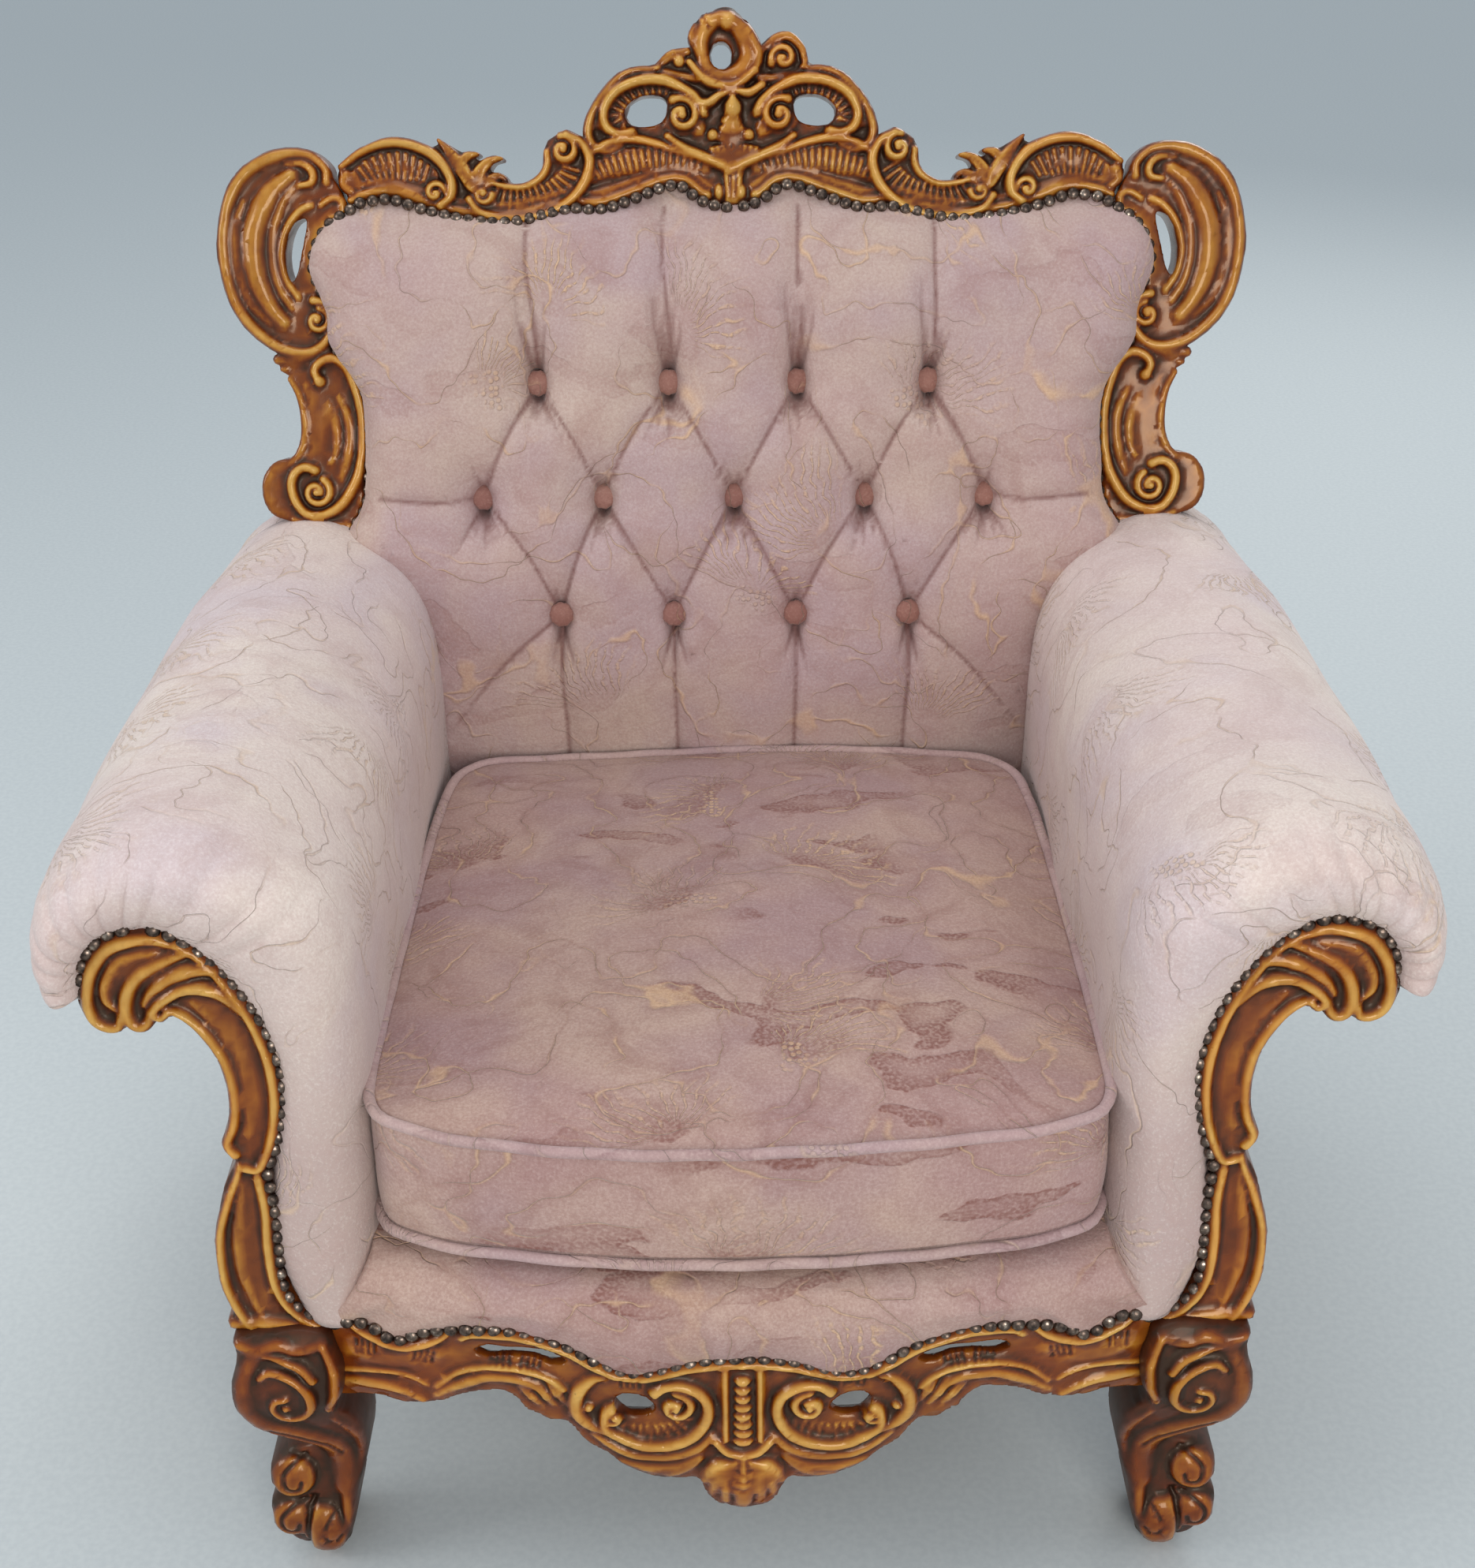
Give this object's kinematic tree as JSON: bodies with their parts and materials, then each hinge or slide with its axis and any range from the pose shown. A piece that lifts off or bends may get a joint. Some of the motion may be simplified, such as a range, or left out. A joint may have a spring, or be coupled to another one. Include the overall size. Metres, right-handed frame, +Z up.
{
  "type": "carved wood armchair",
  "caption": "Wide armchair with a carved and varnished wood frame, rolled scroll arms, a button-tufted velvet back, a loose seat cushion and rows of dome nails.",
  "frame": {"origin": "on the floor, under the middle of the chair's box", "axes": "+Z up, front towards -Y, the sitter's left hand towards +X"},
  "size_m": [1.01, 0.8414, 1.0874],
  "materials": {
    "carved_wood": "glossy amber varnish over dark glaze in the hollows",
    "plain_wood": "raw planed wood",
    "back_velvet": "worn embossed velvet, faded mauve",
    "arm_velvet": "worn embossed velvet, faded to pale beige pink",
    "seat_velvet": "worn embossed velvet, deeper mauve",
    "button_velvet": "rubbed velvet",
    "webbing": "coarse woven strap",
    "nail_metal": "antiqued dark bronze"
  },
  "bodies": {
    "root": {"back_top_rail": "carved_wood", "back_left_stile": "carved_wood", "back_right_stile": "carved_wood", "rear_left_post": "carved_wood", "rear_right_post": "carved_wood", "back_cross_rail": "plain_wood", "front_rail": "carved_wood", "seat_left_rail": "carved_wood", "seat_right_rail": "carved_wood", "seat_rear_rail": "carved_wood", "front_left_corner_block": "plain_wood", "rear_left_corner_block": "plain_wood", "front_right_corner_block": "plain_wood", "rear_right_corner_block": "plain_wood", "front_left_leg": "carved_wood", "front_right_leg": "carved_wood", "left_arm_facing": "carved_wood", "right_arm_facing": "carved_wood", "seat_strap_1": "webbing", "seat_strap_2": "webbing", "seat_strap_3": "webbing", "seat_strap_4": "webbing", "cross_strap_1": "webbing", "cross_strap_2": "webbing", "cross_strap_3": "webbing", "seat_deck": "seat_velvet", "seat_cushion": "seat_velvet", "back_pad": "back_velvet", "back_button_1": "button_velvet", "back_button_2": "button_velvet", "back_button_3": "button_velvet", "back_button_4": "button_velvet", "back_button_5": "button_velvet", "back_button_6": "button_velvet", "back_button_7": "button_velvet", "back_button_8": "button_velvet", "back_button_9": "button_velvet", "back_button_10": "button_velvet", "back_button_11": "button_velvet", "back_button_12": "button_velvet", "back_button_13": "button_velvet", "left_arm_pad": "arm_velvet", "left_outside_arm_panel": "arm_velvet", "right_arm_pad": "arm_velvet", "right_outside_arm_panel": "arm_velvet", "outside_back_upper": "arm_velvet", "outside_back_lower": "arm_velvet"}
  },
  "joints": []
}
